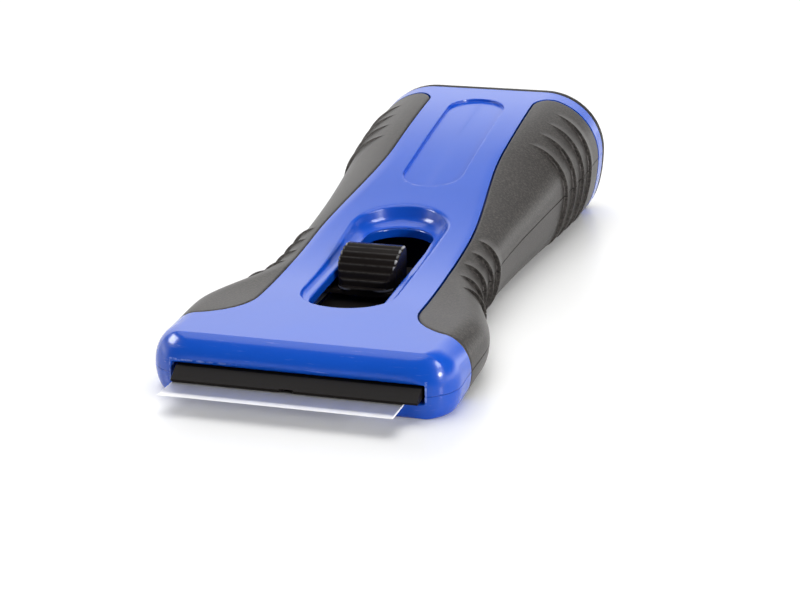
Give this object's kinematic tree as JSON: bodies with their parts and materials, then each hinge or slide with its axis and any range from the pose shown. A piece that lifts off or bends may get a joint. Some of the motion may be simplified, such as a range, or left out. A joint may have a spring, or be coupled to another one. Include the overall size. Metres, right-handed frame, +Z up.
{
  "type": "retractable blade scraper",
  "caption": "Hand-held scraper with a moulded two-half plastic handle, soft side grips, a thumb slide that locks, and a straight steel blade that slides out of the flat head.",
  "frame": {"origin": "on the floor, in the middle of the scraper's length and width with the blade out", "axes": "+Y from the blade towards the grip end, +X to the right seen from above with the blade towards the viewer, +Z up from the sole"},
  "size_m": [0.0544, 0.1438, 0.0257],
  "materials": {
    "shell_plastic": "satin",
    "grip_rubber": "matte",
    "black_plastic": "gloss",
    "blade_steel": "polished",
    "spring_steel": "satin",
    "screw_steel": "zinc plated"
  },
  "bodies": {
    "handle": {"upper_shell": "shell_plastic", "lower_shell": "shell_plastic", "upper_grip_right": "grip_rubber", "upper_grip_left": "grip_rubber", "lower_grip_right": "grip_rubber", "lower_grip_left": "grip_rubber", "shell_screw_1": "screw_steel", "shell_screw_2": "screw_steel", "shell_screw_3": "screw_steel", "shell_screw_4": "screw_steel"},
    "slide": {"blade": "blade_steel", "blade_carrier": "black_plastic", "lock_leaf": "spring_steel"},
    "button": {"thumb_button": "black_plastic"},
    "cap": {"end_cap": "black_plastic"}
  },
  "joints": [
    {"name": "blade_slide", "type": "slide", "parent": "handle", "child": "slide", "axis": [0, 1, 0], "range_m": [-0.012, 0.012], "deforming": ["lock_leaf"]},
    {"name": "button_press", "type": "slide", "parent": "slide", "child": "button", "axis": [0, 0, -1], "range_m": [0, 0.001], "stiffness_N_per_m": 1000, "springref_m": -0.0005, "deforming": ["lock_leaf"]},
    {"name": "cap_pull", "type": "slide", "parent": "handle", "child": "cap", "axis": [0, 1, 0], "range_m": [0, 0.0085]}
  ]
}
